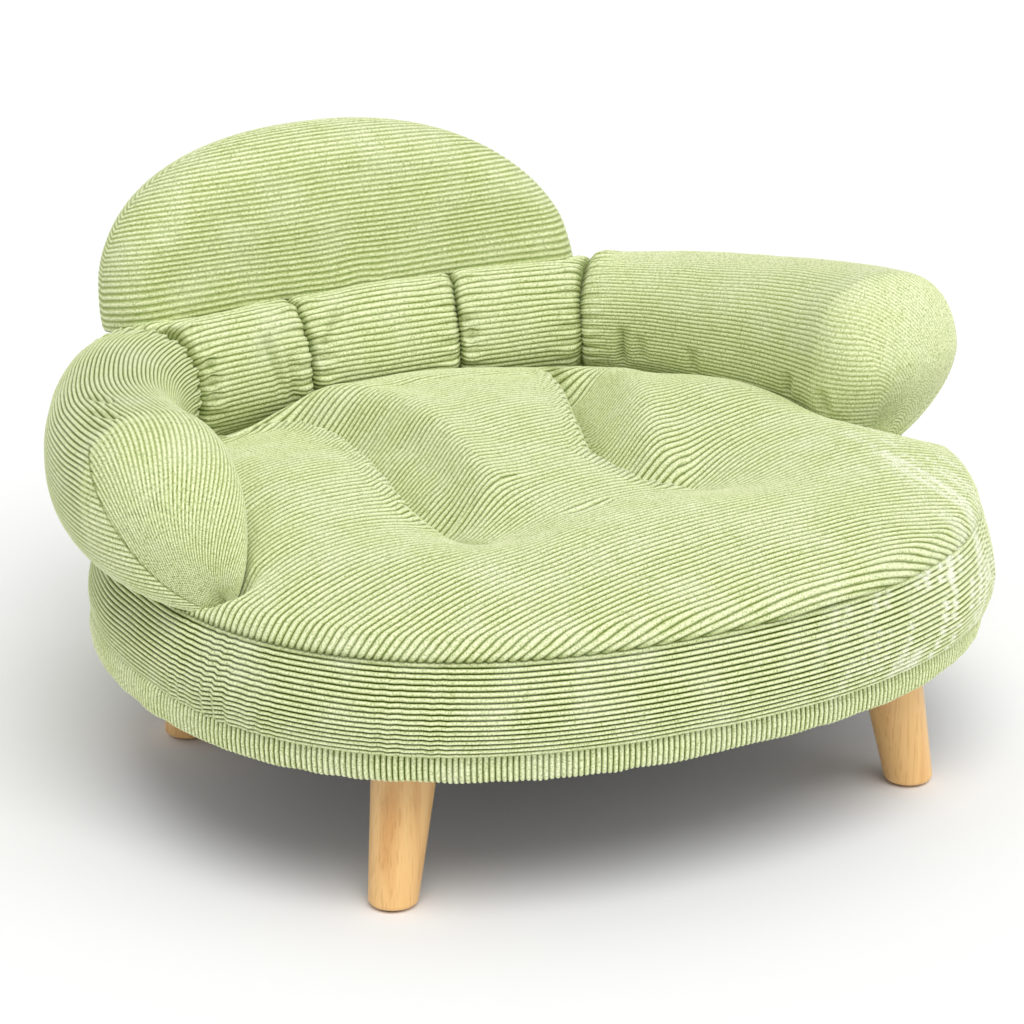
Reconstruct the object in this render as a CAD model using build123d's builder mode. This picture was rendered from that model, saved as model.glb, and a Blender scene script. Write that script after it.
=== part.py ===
from build123d import *
import math
import os

os.makedirs("parts", exist_ok=True)

# Base: an oval board on four splayed legs, wrapped in ribbed cloth
base_width = 700
base_depth = 600
floor_to_rim = 120
board_thickness = 15
padding_thickness = 5
padding_round_share = 0.9
cloth_thickness = 1.5
rim_round = 6
rim_lower_round = 4
hem_width = 22
oval_diagonal_share = 0.74
oval_corner_share = 0.667

# Legs and their brackets
leg_top_diameter = 50
leg_foot_diameter = 37
leg_foot_round = 4
leg_splay_side = 9
leg_splay_front = 6
front_leg_side_inset = 122
front_leg_front_inset = 109
rear_leg_side_inset = 116
rear_leg_rear_inset = 136
plate_side = 50
plate_corner = 6
plate_thickness = 2.5
plate_edge_margin = 6
boss_diameter = 30
leg_top_gap = 1
bolt_diameter = 8
bolt_in_leg = 35
bolt_above_plate = 9
bolt_hole_room = 5
screw_diameter = 4
screw_head_diameter = 8
screw_length = 13
countersink_slope = 45
glide_diameter = 24
glide_thickness = 2
glide_pin_diameter = 3
glide_pin_length = 12

# Underside cloth and staples
dust_cover_thickness = 0.8
dust_cover_lap = 12
staple_width = 10
staple_wire = 1
staple_leg = 6
staple_count = 36

# Hook and loop strips between base and cushions
strip_length = 110
strip_width = 25
strip_thickness = 1
strip_side_inset = 200
strip_end_inset = 180
strip_gap = 0.3

# Seat cushion
seat_inset = 12
seat_band_height = 62
seat_round = 10
crown_side_margin = 50
crown_end_margin = 20
crown_forward = 8
crown_height = 38
crown_level_shares = ((1.0, 0.0), (0.94, 0.42), (0.8, 0.74), (0.58, 0.93), (0.3, 1.0))
tuft_side_share = 0.35
tuft_front_share = 0.28
tuft_depth = 26
tuft_ball_radius = 60
valley_depth = 18
valley_radius = 42
valley_spread = 30
tie_diameter = 3
tie_disc_diameter = 14
tie_disc_thickness = 2

# Arms: fat bolsters that curve round the seat and grow towards their front ends
arm_end_y = 8
arm_corner_side_inset = 133
arm_corner_rear_inset = 3
arm_corner_width = 100
arm_end_width = 130
arm_corner_height = 98
arm_end_height = 133
arm_round = 36
arm_top_round = 46

# Back bolster with three sewn channels
back_height = 96
back_front_bow = 17
back_rear_bow = 39
back_seam_share = 0.39
back_round = 26

# Headrest: a half-moon pillow on the back bolster
headrest_end_inset = 122
headrest_height = 137
headrest_thickness = 75
headrest_behind_rim = 35
headrest_lean = 5
headrest_sink = 12
headrest_round = 30

# Zip across the back of the headrest
zip_length = 300
zip_tape_width = 24
zip_tape_thickness = 0.8
zip_coil_width = 5
zip_coil_height = 1.6
zip_height_on_back = 48
slider_length = 14
slider_width = 10
slider_wall = 1.2
slider_gap = 0.3
bridge_bar_diameter = 1.6
bridge_post = 1.6
pull_eye_diameter = 4.4
pull_length = 28
pull_width = 6
pull_thickness = 1.6
pull_corner = 2

cut_overrun = 5
half_turn = 180

# Levels and places worked out from the sizes above
half_width = base_width / 2
half_depth = base_depth / 2
board_bottom = floor_to_rim + cloth_thickness
padding_bottom = board_bottom + board_thickness
padding_top = padding_bottom + padding_thickness
rim_top = padding_top + cloth_thickness
plate_bottom = board_bottom - dust_cover_thickness - plate_thickness
hook_top = rim_top + strip_thickness
seat_bottom = hook_top + strip_gap + strip_thickness
seat_top = seat_bottom + seat_band_height
back_top = seat_top + back_height
seat_half_width = half_width - seat_inset
seat_half_depth = half_depth - seat_inset
front_leg_x = half_width - front_leg_side_inset
front_leg_y = half_depth - front_leg_front_inset
rear_leg_x = half_width - rear_leg_side_inset
rear_leg_y = half_depth - rear_leg_rear_inset
strip_x = half_width - strip_side_inset
strip_y = half_depth - strip_end_inset
crown_half_width = seat_half_width - crown_side_margin
crown_half_depth = seat_half_depth - crown_end_margin
tuft_x = crown_half_width * tuft_side_share
tuft_y = crown_half_depth * tuft_front_share
arm_end_x = seat_half_width
arm_corner_x = seat_half_width - arm_corner_side_inset
arm_corner_y = seat_half_depth - arm_corner_rear_inset
headrest_width = base_width - 2 * headrest_end_inset
headrest_y = half_depth + headrest_behind_rim
lean_angle = math.radians(headrest_lean)
slider_bottom = zip_tape_thickness + slider_gap
slider_ceiling = zip_coil_height + slider_gap
slider_top = slider_ceiling + slider_wall
eye_radius = pull_eye_diameter / 2
bar_height = slider_top + slider_gap + eye_radius
post_y = pull_width / 2 + slider_gap + bridge_post / 2

# The origin is on the floor, midway between the front of the rim and the zip slider
zip_back = headrest_thickness / 2 + bar_height + eye_radius
zip_rise = zip_height_on_back + post_y + bridge_post / 2
rear_reach = headrest_y + zip_back * math.cos(lean_angle) + zip_rise * math.sin(lean_angle)
centre_y = (half_depth - rear_reach) / 2
ground = Plane(origin=(0, centre_y, 0))


# Outlines and shared shapes

def oval_face(half_x, half_y, inset=0, offset_y=0):
    """A flat oval of eight tangent arcs, a little squarer than an ellipse, drawn in by the inset."""
    normal = Vector(half_y, half_x, 0).normalized()
    corner_radius = oval_corner_share * half_y
    diagonal = Vector(half_x, half_y, 0) * oval_diagonal_share
    corner = diagonal - normal * corner_radius
    end_room = half_x - corner.X
    side_room = half_y - corner.Y
    end_radius = (corner.Y ** 2 + end_room ** 2 - corner_radius ** 2) / (2 * (end_room - corner_radius))
    side_radius = (corner.X ** 2 + side_room ** 2 - corner_radius ** 2) / (2 * (side_room - corner_radius))
    end_turn = (corner - Vector(half_x - end_radius, 0, 0)).normalized()
    side_turn = (corner - Vector(0, half_y - side_radius, 0)).normalized()
    end_join = corner + end_turn * (corner_radius - inset)
    side_join = corner + side_turn * (corner_radius - inset)
    middle = corner + normal * (corner_radius - inset)
    end = Vector(half_x - inset, 0, 0)
    side = Vector(0, half_y - inset, 0)

    def at(point, sign_x, sign_y):
        return (point.X * sign_x, point.Y * sign_y + offset_y)

    with BuildSketch() as flat:
        with BuildLine():
            for sign in (1, -1):
                ThreePointArc(at(end_join, sign, -1), at(end, sign, 1), at(end_join, sign, 1))
                ThreePointArc(at(side_join, 1, sign), at(side, 1, sign), at(side_join, -1, sign))
                for other in (1, -1):
                    ThreePointArc(at(end_join, sign, other), at(middle, sign, other),
                                  at(side_join, sign, other))
        make_face()
    return flat.sketch


def oval_block(half_x, half_y, bottom, top, inset=0, lower_round=0, upper_round=0):
    """An upright oval block with rounded lower and upper edges."""
    with BuildPart() as block:
        with BuildSketch(ground.offset(bottom)):
            add(oval_face(half_x, half_y, inset))
        extrude(amount=top - bottom)
        if lower_round > 0:
            fillet(block.faces().sort_by(Axis.Z)[0].edges(), lower_round)
        if upper_round > 0:
            fillet(block.faces().sort_by(Axis.Z)[-1].edges(), upper_round)
    return block.part


def arc_through(half_chord, bow, end_y, x):
    """Height y at x of an arc that spans the chord and bows backward."""
    radius = (half_chord ** 2 + bow ** 2) / (2 * bow)
    return end_y + bow - radius + math.sqrt(radius ** 2 - x ** 2)


# Base board, padding, cloth wrap and underside

lap_inset = hem_width - dust_cover_lap


def leg_table():
    """Name, foot centre and outward signs of the four legs."""
    return (
        ("front_left", -front_leg_x, -front_leg_y, -1, -1),
        ("front_right", front_leg_x, -front_leg_y, 1, -1),
        ("rear_left", -rear_leg_x, rear_leg_y, -1, 1),
        ("rear_right", rear_leg_x, rear_leg_y, 1, 1),
    )


def leg_axis(side_x, side_y):
    """Unit direction up the leg, which leans inward as it rises."""
    lean = Vector(
        -side_x * math.tan(math.radians(leg_splay_side)),
        -side_y * math.tan(math.radians(leg_splay_front)),
        1,
    )
    return lean.normalized()


def leg_top_height(axis):
    """Height of the leg's top centre, so that its raised edge clears the plate."""
    rise = math.sqrt(1 - axis.Z ** 2) * leg_top_diameter / 2
    return plate_bottom - rise - leg_top_gap


def leg_top_plane(foot_x, foot_y, side_x, side_y):
    """Plane of the leg's top face, square to its axis."""
    axis = leg_axis(side_x, side_y)
    height = leg_top_height(axis)
    centre = ground.origin + Vector(foot_x, foot_y, 0) + axis * (height / axis.Z)
    return Plane(origin=centre, z_dir=axis)


def plate_centre(top_plane):
    """Where the leg's axis meets the board, measured from the base's centre."""
    axis = top_plane.z_dir
    spot = top_plane.origin + axis * ((board_bottom - top_plane.origin.Z) / axis.Z) - ground.origin
    return (spot.X, spot.Y)


def plate_screw_spots(centre):
    """The four screw places of one leg plate."""
    reach = plate_side / 2 - plate_edge_margin
    return [(centre[0] + a * reach, centre[1] + b * reach) for a in (-1, 1) for b in (-1, 1)]


leg_tops = [leg_top_plane(x, y, a, b) for name, x, y, a, b in leg_table()]
bolt_spots = [plate_centre(top_plane) for top_plane in leg_tops]
screw_spots = [spot for centre in bolt_spots for spot in plate_screw_spots(centre)]
bolt_room_radius = bolt_diameter / 2 + bolt_hole_room

# Countersunk screws, flush with the underside of the leg plates
screw_head_depth = (screw_head_diameter - screw_diameter) / 2

with BuildPart() as plate_screws:
    with BuildSketch(ground.offset(plate_bottom)):
        with Locations(*screw_spots):
            Circle(screw_diameter / 2)
    extrude(amount=screw_length)
    with BuildSketch(ground.offset(plate_bottom)):
        with Locations(*screw_spots):
            Circle(screw_head_diameter / 2)
    extrude(amount=screw_head_depth, taper=countersink_slope)
plate_screws.part.label = "plate_screws"
export_step(plate_screws.part, "parts/plate_screws.step")

# Staples hold the lapped cloth edges to the board
dust_cover_bottom = floor_to_rim - dust_cover_thickness
staple_ring = oval_face(half_width, half_depth, hem_width - dust_cover_lap / 2).wire()


def staple_planes():
    """Planes on the underside where staples lie, along the edge."""
    planes = []
    for k in range(staple_count):
        share = k / staple_count
        spot = staple_ring.position_at(share)
        origin = (spot.X, spot.Y + centre_y, dust_cover_bottom)
        planes.append(Plane(origin=origin, x_dir=staple_ring.tangent_at(share), z_dir=(0, 0, 1)))
    return planes


with BuildPart() as staple_slots:
    for plane in staple_planes():
        with BuildSketch(plane):
            with GridLocations(staple_width - staple_wire, 0, 2, 1):
                Rectangle(staple_wire, staple_wire)
        extrude(amount=staple_leg)

with BuildPart() as staples:
    add(staple_slots.part)
    for plane in staple_planes():
        with BuildSketch(plane):
            Rectangle(staple_width, staple_wire)
        extrude(amount=-staple_wire)
staples.part.label = "staples"
export_step(staples.part, "parts/staples.step")

board_block = oval_block(half_width, half_depth, board_bottom, padding_bottom, cloth_thickness,
                         lower_round=rim_lower_round - cloth_thickness)

with BuildPart() as base_board:
    add(board_block)
    with BuildSketch(ground.offset(board_bottom)):
        with Locations(*bolt_spots):
            Circle(bolt_room_radius)
    extrude(amount=board_thickness, mode=Mode.SUBTRACT)
    add(plate_screws.part, mode=Mode.SUBTRACT)
    add(staple_slots.part, mode=Mode.SUBTRACT)
base_board.part.label = "base_board"
export_step(base_board.part, "parts/base_board.step")

padding_round = min(rim_round - cloth_thickness, padding_round_share * padding_thickness)

with BuildPart() as base_padding:
    add(oval_block(half_width, half_depth, padding_bottom, padding_top, cloth_thickness,
                   upper_round=padding_round))
base_padding.part.label = "base_padding"
export_step(base_padding.part, "parts/base_padding.step")

with BuildPart() as base_cover:
    add(oval_block(half_width, half_depth, floor_to_rim, rim_top,
                   lower_round=rim_lower_round, upper_round=rim_round))
    add(board_block, mode=Mode.SUBTRACT)
    add(base_padding.part, mode=Mode.SUBTRACT)
    with BuildSketch(ground.offset(board_bottom)):
        add(oval_face(half_width, half_depth, hem_width))
    extrude(amount=-cloth_thickness, mode=Mode.SUBTRACT)
    add(staple_slots.part, mode=Mode.SUBTRACT)
base_cover.part.label = "base_cover"
export_step(base_cover.part, "parts/base_cover.step")

# The dust cover laps under the hem and steps up to the bare board inside it
with BuildPart() as dust_cover:
    add(oval_block(half_width, half_depth, dust_cover_bottom, floor_to_rim, lap_inset))
    add(oval_block(half_width, half_depth, dust_cover_bottom, board_bottom, hem_width))
    add(oval_block(half_width, half_depth, dust_cover_bottom, board_bottom - dust_cover_thickness,
                   hem_width + dust_cover_thickness), mode=Mode.SUBTRACT)
    with BuildSketch(ground.offset(board_bottom)):
        with Locations(*bolt_spots):
            Circle(bolt_room_radius)
    extrude(amount=-dust_cover_thickness, mode=Mode.SUBTRACT)
    add(plate_screws.part, mode=Mode.SUBTRACT)
    add(staple_slots.part, mode=Mode.SUBTRACT)
dust_cover.part.label = "dust_cover"
export_step(dust_cover.part, "parts/dust_cover.step")


# Legs, plates, bolts and glides

for (name, foot_x, foot_y, side_x, side_y), top_plane in zip(leg_table(), leg_tops):
    axis = top_plane.z_dir
    leg_length = top_plane.origin.Z / axis.Z
    foot_plane = top_plane.offset(-leg_length - cut_overrun)
    taper = (leg_top_diameter - leg_foot_diameter) / 2 / leg_length

    with BuildPart() as leg:
        with BuildSketch(foot_plane):
            Circle(leg_foot_diameter / 2 - taper * cut_overrun)
        with BuildSketch(top_plane):
            Circle(leg_top_diameter / 2)
        loft()
        split(bisect_by=ground.offset(glide_thickness), keep=Keep.TOP)
        fillet(leg.faces().sort_by(Axis.Z)[0].edges(), leg_foot_round)
        with BuildSketch(top_plane):
            Circle(bolt_diameter / 2)
        extrude(amount=-bolt_in_leg, mode=Mode.SUBTRACT)
        with BuildSketch(ground.offset(glide_thickness)):
            with Locations((foot_x, foot_y)):
                Circle(glide_pin_diameter / 2)
        extrude(amount=glide_pin_length, mode=Mode.SUBTRACT)
    leg.part.label = "leg_" + name
    export_step(leg.part, "parts/leg_" + name + ".step")

    with BuildPart() as foot_glide:
        with BuildSketch(ground):
            with Locations((foot_x, foot_y)):
                Circle(glide_diameter / 2)
        extrude(amount=glide_thickness)
        with BuildSketch(ground.offset(glide_thickness)):
            with Locations((foot_x, foot_y)):
                Circle(glide_pin_diameter / 2)
        extrude(amount=glide_pin_length)
    foot_glide.part.label = "foot_glide_" + name
    export_step(foot_glide.part, "parts/foot_glide_" + name + ".step")

    with BuildPart() as leg_plate:
        with BuildSketch(top_plane):
            Circle(boss_diameter / 2)
        extrude(amount=plate_side)
        split(bisect_by=ground.offset(plate_bottom), keep=Keep.BOTTOM)
        with BuildSketch(ground.offset(plate_bottom)):
            with Locations(plate_centre(top_plane)):
                RectangleRounded(plate_side, plate_side, plate_corner)
        extrude(amount=plate_thickness)
        with BuildSketch(top_plane):
            Circle(bolt_diameter / 2)
        extrude(amount=plate_side, mode=Mode.SUBTRACT)
        add(plate_screws.part, mode=Mode.SUBTRACT)
    leg_plate.part.label = "leg_plate_" + name
    export_step(leg_plate.part, "parts/leg_plate_" + name + ".step")

    bolt_end = (plate_bottom + plate_thickness + bolt_above_plate - top_plane.origin.Z) / axis.Z
    with BuildPart() as hanger_bolt:
        with BuildSketch(top_plane.offset(-bolt_in_leg)):
            Circle(bolt_diameter / 2)
        extrude(amount=bolt_in_leg + bolt_end)
    hanger_bolt.part.label = "hanger_bolt_" + name
    export_step(hanger_bolt.part, "parts/hanger_bolt_" + name + ".step")

# Hook strips on the base, loop strips under the seat cushion
strip_spots = [(a * strip_x, b * strip_y) for a in (-1, 1) for b in (-1, 1)]

with BuildPart() as hook_strips:
    with BuildSketch(ground.offset(rim_top)):
        with Locations(*strip_spots):
            Rectangle(strip_length, strip_width)
    extrude(amount=strip_thickness)
hook_strips.part.label = "hook_strips"
export_step(hook_strips.part, "parts/hook_strips.step")

with BuildPart() as loop_strips:
    with BuildSketch(ground.offset(seat_bottom)):
        with Locations(*strip_spots):
            Rectangle(strip_length, strip_width)
    extrude(amount=-strip_thickness)
loop_strips.part.label = "loop_strips"
export_step(loop_strips.part, "parts/loop_strips.step")


# Seat cushion: an oval drum with a domed top, pulled down at two tufts and along two valleys

def seat_shape(inset):
    """The whole cushion, or its filling when inset by the cloth, with a valley behind each tuft."""
    drum = oval_block(seat_half_width, seat_half_depth, seat_bottom + inset, seat_top - inset, inset,
                      lower_round=seat_round - inset, upper_round=seat_round - inset)
    with BuildPart() as shape:
        add(drum)
        for width_share, height_share in crown_level_shares:
            level_width = (crown_half_width - inset) * width_share
            level_depth = (crown_half_depth - inset) * width_share
            with BuildSketch(ground.offset(seat_top - inset + crown_height * height_share)):
                add(oval_face(level_width, level_depth, offset_y=-crown_forward))
        loft()
        ball_centre = seat_top + crown_height - tuft_depth + tuft_ball_radius
        with Locations((-tuft_x, centre_y - tuft_y, ball_centre), (tuft_x, centre_y - tuft_y, ball_centre)):
            Sphere(tuft_ball_radius + inset, mode=Mode.SUBTRACT)
        valley_height = seat_top + crown_height - valley_depth + valley_radius
        for side in (-1, 1):
            start = Vector(side * tuft_x, centre_y - tuft_y, valley_height)
            run = Vector(side * valley_spread, crown_half_depth + tuft_y, 0)
            with BuildSketch(Plane(origin=start, z_dir=run)):
                Circle(valley_radius + inset)
            extrude(amount=run.length, mode=Mode.SUBTRACT)
    return shape.part


seat_outer = seat_shape(0)
seat_inner = seat_shape(cloth_thickness)
tie_bottom = seat_bottom + cloth_thickness

# Each tie is a cord from the bottom of the filling to its tuft, knotted at a disc
with BuildPart() as tuft_ties:
    with BuildSketch(ground.offset(tie_bottom)):
        with Locations((-tuft_x, -tuft_y), (tuft_x, -tuft_y)):
            Circle(tie_diameter / 2)
    extrude(amount=seat_band_height + crown_height)
    with BuildSketch(ground.offset(tie_bottom)):
        with Locations((-tuft_x, -tuft_y), (tuft_x, -tuft_y)):
            Circle(tie_disc_diameter / 2)
    extrude(amount=tie_disc_thickness)
    add(seat_inner, mode=Mode.INTERSECT)
tuft_ties.part.label = "tuft_ties"
export_step(tuft_ties.part, "parts/tuft_ties.step")

with BuildPart() as seat_fill:
    add(seat_inner)
    add(tuft_ties.part, mode=Mode.SUBTRACT)
seat_fill.part.label = "seat_fill"
export_step(seat_fill.part, "parts/seat_fill.step")

with BuildPart() as seat_cover:
    add(seat_outer)
    add(seat_inner, mode=Mode.SUBTRACT)
seat_cover.part.label = "seat_cover"
export_step(seat_cover.part, "parts/seat_cover.step")


# Arms

def arm_centre_line():
    """Centre and radius of the arc that the arm follows, and its sweep."""
    run_x = arm_end_x - arm_corner_x
    run_y = arm_corner_y - arm_end_y
    radius = (run_x ** 2 + run_y ** 2) / (2 * run_x)
    sweep = math.atan2(run_y, radius - run_x)
    return arm_end_x - radius, arm_end_y, radius, sweep


def arm_point(share, side):
    """A plan point beside the arm's centre line: side is -1 inside, 1 outside."""
    centre_x, centre_y, radius, sweep = arm_centre_line()
    angle = sweep * share
    half = (arm_end_width + (arm_corner_width - arm_end_width) * share) / 2
    reach = radius + side * half
    return (centre_x + reach * math.cos(angle), centre_y + reach * math.sin(angle))


def arm_shape(inset):
    """Right arm, or its filling when inset by the cloth."""
    tip = (arm_end_x, arm_end_y - arm_end_width / 2)
    top_at_end = seat_top + arm_end_height - inset
    slope = (arm_end_height - arm_corner_height) / (arm_corner_y - arm_end_y)
    top_plane = Plane(origin=(0, centre_y + arm_end_y, top_at_end), x_dir=(1, 0, 0), z_dir=(0, slope, 1))
    with BuildPart() as shape:
        with BuildSketch(ground.offset(seat_top + inset)):
            with BuildLine():
                TangentArc(arm_point(0, -1), arm_point(1, -1), tangent=(0, 1))
                ThreePointArc(arm_point(0, -1), tip, arm_point(0, 1))
                TangentArc(arm_point(0, 1), arm_point(1, 1), tangent=(0, 1))
                Line(arm_point(1, 1), arm_point(1, -1))
            make_face()
            if inset > 0:
                offset(amount=-inset, kind=Kind.INTERSECTION, mode=Mode.REPLACE)
        extrude(amount=arm_end_height + arm_end_width)
        split(bisect_by=top_plane, keep=Keep.BOTTOM)
        faces_by_height = shape.faces().sort_by(Axis.Z)
        butt_edges = shape.edges().filter_by(Axis.Z).sort_by(Axis.Y)[-2:]
        fillet(faces_by_height[-1].edges() + butt_edges, arm_top_round - inset)
        fillet(shape.faces().sort_by(Axis.Z)[0].edges(), arm_round - inset)
    return shape.part


right_outer = arm_shape(0)
right_inner = arm_shape(cloth_thickness)

with BuildPart() as right_arm_fill:
    add(right_inner)
right_arm_fill.part.label = "right_arm_fill"
export_step(right_arm_fill.part, "parts/right_arm_fill.step")

with BuildPart() as right_arm_cover:
    add(right_outer)
    add(right_inner, mode=Mode.SUBTRACT)
right_arm_cover.part.label = "right_arm_cover"
export_step(right_arm_cover.part, "parts/right_arm_cover.step")

with BuildPart() as left_arm_fill:
    add(mirror(right_arm_fill.part, about=Plane.YZ, mode=Mode.PRIVATE))
left_arm_fill.part.label = "left_arm_fill"
export_step(left_arm_fill.part, "parts/left_arm_fill.step")

with BuildPart() as left_arm_cover:
    add(mirror(right_arm_cover.part, about=Plane.YZ, mode=Mode.PRIVATE))
left_arm_cover.part.label = "left_arm_cover"
export_step(left_arm_cover.part, "parts/left_arm_cover.step")


# Back bolster

front_end_x, front_end_y = arm_point(1, -1)
rear_end_x, rear_end_y = arm_point(1, 1)


def back_front_point(share):
    """A plan point on the bolster's front, share -1 to 1 across it."""
    x = front_end_x * share
    return (x, arc_through(front_end_x, back_front_bow, front_end_y, x))


def back_rear_point(share):
    """A plan point on the bolster's rear, share -1 to 1 across it."""
    x = rear_end_x * share
    return (x, arc_through(rear_end_x, back_rear_bow, rear_end_y, x))


def back_lobe(left_share, right_share, inset):
    """One stuffed channel of the bolster between two seams."""
    middle_share = (left_share + right_share) / 2
    with BuildPart() as lobe:
        with BuildSketch(ground.offset(seat_top + inset)):
            with BuildLine():
                ThreePointArc(back_front_point(left_share), back_front_point(middle_share),
                              back_front_point(right_share))
                Line(back_front_point(right_share), back_rear_point(right_share))
                ThreePointArc(back_rear_point(right_share), back_rear_point(middle_share),
                              back_rear_point(left_share))
                Line(back_rear_point(left_share), back_front_point(left_share))
            make_face()
            if inset > 0:
                offset(amount=-inset, kind=Kind.INTERSECTION, mode=Mode.REPLACE)
        extrude(amount=back_height - 2 * inset)
        fillet(lobe.edges(), back_round - inset)
    return lobe.part


channel_shares = (
    ("back_left", -1, -back_seam_share),
    ("back_middle", -back_seam_share, back_seam_share),
    ("back_right", back_seam_share, 1),
)

# The channels are sewn edge to edge, each with its own filling
for name, left_share, right_share in channel_shares:
    with BuildPart() as channel_fill:
        add(back_lobe(left_share, right_share, cloth_thickness))
    channel_fill.part.label = name + "_fill"
    export_step(channel_fill.part, "parts/" + name + "_fill.step")

    with BuildPart() as channel_cover:
        add(back_lobe(left_share, right_share, 0))
        add(channel_fill.part, mode=Mode.SUBTRACT)
    channel_cover.part.label = name + "_cover"
    export_step(channel_cover.part, "parts/" + name + "_cover.step")

# Headrest

headrest_plane = Plane(
    origin=(0, centre_y + headrest_y, back_top),
    x_dir=(1, 0, 0),
    z_dir=(0, -math.cos(lean_angle), math.sin(lean_angle)),
)


def headrest_shape(inset):
    """Half-moon pillow, leaning back, cut level where it stands."""
    half = headrest_width / 2 - inset
    with BuildPart() as shape:
        with BuildSketch(headrest_plane):
            with BuildLine():
                EllipticalCenterArc((0, -headrest_sink), half, headrest_height + headrest_sink - inset,
                                    start_angle=0, arc_size=half_turn)
                Line((-half, -headrest_sink), (half, -headrest_sink))
            make_face()
        extrude(amount=headrest_thickness / 2 - inset, both=True)
        split(bisect_by=ground.offset(back_top + inset), keep=Keep.TOP)
        fillet(shape.edges(), headrest_round - inset)
    return shape.part


with BuildPart() as headrest_fill:
    add(headrest_shape(cloth_thickness))
headrest_fill.part.label = "headrest_fill"
export_step(headrest_fill.part, "parts/headrest_fill.step")

with BuildPart() as headrest_cover:
    add(headrest_shape(0))
    add(headrest_fill.part, mode=Mode.SUBTRACT)
headrest_cover.part.label = "headrest_cover"
export_step(headrest_cover.part, "parts/headrest_cover.step")

# Zip across the back of the headrest: tape with its coil, slider and pull
zip_centre = (headrest_plane.origin - headrest_plane.z_dir * (headrest_thickness / 2)
              + headrest_plane.y_dir * zip_height_on_back)
zip_plane = Plane(origin=zip_centre, x_dir=(1, 0, 0), z_dir=-headrest_plane.z_dir)

with BuildPart() as zip_tape:
    with BuildSketch(zip_plane):
        Rectangle(zip_length, zip_tape_width)
    extrude(amount=zip_tape_thickness)
    with BuildSketch(zip_plane):
        Rectangle(zip_length, zip_coil_width)
    extrude(amount=zip_coil_height)
zip_tape.part.label = "zip_tape"
export_step(zip_tape.part, "parts/zip_tape.step")

slider_x = (zip_length - slider_length) / 2
bar_radius = bridge_bar_diameter / 2
bar_plane = Plane(
    origin=zip_plane.origin + zip_plane.x_dir * slider_x + zip_plane.z_dir * bar_height,
    x_dir=zip_plane.x_dir,
    z_dir=zip_plane.y_dir,
)

with BuildPart() as zip_slider:
    with BuildSketch(zip_plane.offset(slider_bottom)):
        with Locations((slider_x, 0)):
            Rectangle(slider_length, slider_width)
    extrude(amount=slider_top - slider_bottom)
    with BuildSketch(zip_plane.offset(slider_bottom)):
        with Locations((slider_x, 0)):
            Rectangle(slider_length, zip_coil_width + 2 * slider_gap)
    extrude(amount=slider_ceiling - slider_bottom, mode=Mode.SUBTRACT)
    with BuildSketch(zip_plane.offset(slider_top)):
        with Locations((slider_x, -post_y), (slider_x, post_y)):
            Rectangle(bridge_post + bridge_bar_diameter, bridge_post)
    extrude(amount=bar_height - slider_top + eye_radius)
    with BuildSketch(bar_plane):
        Circle(bar_radius)
    extrude(amount=post_y, both=True)
zip_slider.part.label = "zip_slider"
export_step(zip_slider.part, "parts/zip_slider.step")

with BuildPart() as zip_pull:
    with BuildSketch(bar_plane):
        Circle(eye_radius)
        with Locations((-pull_length / 2, 0)):
            Rectangle(pull_length, pull_thickness)
        Circle(bar_radius + slider_gap, mode=Mode.SUBTRACT)
    extrude(amount=pull_width / 2, both=True)
    tab_end = zip_pull.faces().sort_by(Axis.X)[0]
    fillet(tab_end.edges().filter_by(Axis(zip_plane.origin, zip_plane.z_dir)), pull_corner)
zip_pull.part.label = "zip_pull"
export_step(zip_pull.part, "parts/zip_pull.step")
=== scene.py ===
import math

import bmesh
import bpy
import numpy as np
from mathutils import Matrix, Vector


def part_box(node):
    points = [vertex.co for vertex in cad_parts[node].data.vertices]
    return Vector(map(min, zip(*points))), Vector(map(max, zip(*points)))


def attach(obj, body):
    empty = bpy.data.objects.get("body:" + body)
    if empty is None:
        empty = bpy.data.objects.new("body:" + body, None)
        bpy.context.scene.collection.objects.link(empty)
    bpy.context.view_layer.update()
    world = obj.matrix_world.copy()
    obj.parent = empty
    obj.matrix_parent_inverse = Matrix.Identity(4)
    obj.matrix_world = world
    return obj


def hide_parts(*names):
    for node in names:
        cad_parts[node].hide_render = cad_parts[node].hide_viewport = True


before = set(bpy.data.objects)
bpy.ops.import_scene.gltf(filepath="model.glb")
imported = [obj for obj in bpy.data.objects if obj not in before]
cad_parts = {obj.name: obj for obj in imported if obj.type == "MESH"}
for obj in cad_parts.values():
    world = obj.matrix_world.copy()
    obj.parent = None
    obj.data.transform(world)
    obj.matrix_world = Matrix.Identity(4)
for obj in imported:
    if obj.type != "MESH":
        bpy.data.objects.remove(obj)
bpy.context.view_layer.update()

# Corduroy, in metres like everything here. Points stand at whole steps of a rib
rib_pitch = 0.0042
rib_height = 0.0016
rib_steps = 4
rib_spacing = rib_pitch / rib_steps

# Painted shade of wrinkles: how much a metre of a wrinkle's depth darkens it; and the share of a wrinkle
# that fades at each end
wrinkle_shade_darkness = 90
wrinkle_fade = 0.3

# A crease's raised shoulders: height by its depth, place and width by its width
shoulder_height = 0.22
shoulder_place = 1.5
shoulder_width = 0.6

# Depth of the finer of a filling's swellings
fine_swell = 0.0005

# Places read from the frame
rim_low, rim_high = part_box("base_cover")
seat_low, seat_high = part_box("seat_cover")
back_low, back_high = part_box("back_middle_cover")
arm_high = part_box("right_arm_cover")[1]
centre_y = (rim_low[1] + rim_high[1]) / 2
rim_half_x = (rim_high[0] - rim_low[0]) / 2
rim_half_y = (rim_high[1] - rim_low[1]) / 2
seat_half_x = (seat_high[0] - seat_low[0]) / 2
seat_half_y = (seat_high[1] - seat_low[1]) / 2
bolster_bottom = back_low[2]
bolster_top = back_high[2]

# How square the ovals are: 2 is an ellipse
oval_power = 2.3

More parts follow.
